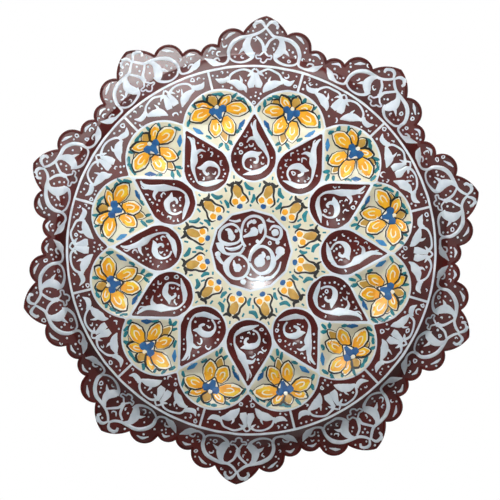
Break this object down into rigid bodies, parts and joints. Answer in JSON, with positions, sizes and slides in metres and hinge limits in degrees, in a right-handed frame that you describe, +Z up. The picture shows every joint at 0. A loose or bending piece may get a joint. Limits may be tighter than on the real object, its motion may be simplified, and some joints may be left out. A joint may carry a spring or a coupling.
{
  "type": "enamelled wall plate",
  "caption": "Scalloped copper wall plate with painted enamel flower cells and scrolls on a raised dish, hung by a swinging wire ring behind.",
  "frame": {"origin": "centre of the plate's bounding box, on the plate axis at half its depth", "axes": "+Z up as the plate hangs, +Y from the front to the wall, +X to the right as seen from the front"},
  "size_m": [0.289, 0.012, 0.2998],
  "materials": {
    "copper": "oxidised copper sheet",
    "white_enamel": "glossy fired enamel",
    "back_enamel": "glossy fired enamel",
    "maroon_enamel": "glossy fired enamel",
    "cream_enamel": "glossy fired enamel",
    "hanger_brass": "worn drawn brass"
  },
  "bodies": {
    "plate": {"copper_blank": "copper", "ground_enamel": "white_enamel", "counter_enamel": "back_enamel", "rim_enamel": "maroon_enamel", "border_panel_01": "maroon_enamel", "border_panel_02": "maroon_enamel", "border_panel_03": "maroon_enamel", "border_panel_04": "maroon_enamel", "border_panel_05": "maroon_enamel", "border_panel_06": "maroon_enamel", "border_panel_07": "maroon_enamel", "border_panel_08": "maroon_enamel", "border_panel_09": "maroon_enamel", "border_panel_10": "maroon_enamel", "border_panel_11": "maroon_enamel", "border_panel_12": "maroon_enamel", "petal_cell_01": "cream_enamel", "petal_cell_02": "cream_enamel", "petal_cell_03": "cream_enamel", "petal_cell_04": "cream_enamel", "petal_cell_05": "cream_enamel", "petal_cell_06": "cream_enamel", "petal_cell_07": "cream_enamel", "petal_cell_08": "cream_enamel", "petal_cell_09": "cream_enamel", "petal_cell_10": "cream_enamel", "petal_cell_11": "cream_enamel", "petal_cell_12": "cream_enamel", "teardrop_cell_01": "maroon_enamel", "teardrop_cell_02": "maroon_enamel", "teardrop_cell_03": "maroon_enamel", "teardrop_cell_04": "maroon_enamel", "teardrop_cell_05": "maroon_enamel", "teardrop_cell_06": "maroon_enamel", "teardrop_cell_07": "maroon_enamel", "teardrop_cell_08": "maroon_enamel", "teardrop_cell_09": "maroon_enamel", "teardrop_cell_10": "maroon_enamel", "teardrop_cell_11": "maroon_enamel", "teardrop_cell_12": "maroon_enamel", "tulip_ring": "cream_enamel", "centre_medallion": "maroon_enamel", "hanger_pad": "copper", "hanger_strap": "hanger_brass", "strap_rivets": "hanger_brass"},
    "ring": {"hanger_ring": "hanger_brass"}
  },
  "joints": [
    {"name": "ring_swing", "type": "hinge", "parent": "plate", "child": "ring", "pos_m": [0, 0.0007, 0.0975], "axis": [1, 0, 0], "range_deg": [0, 180]}
  ]
}
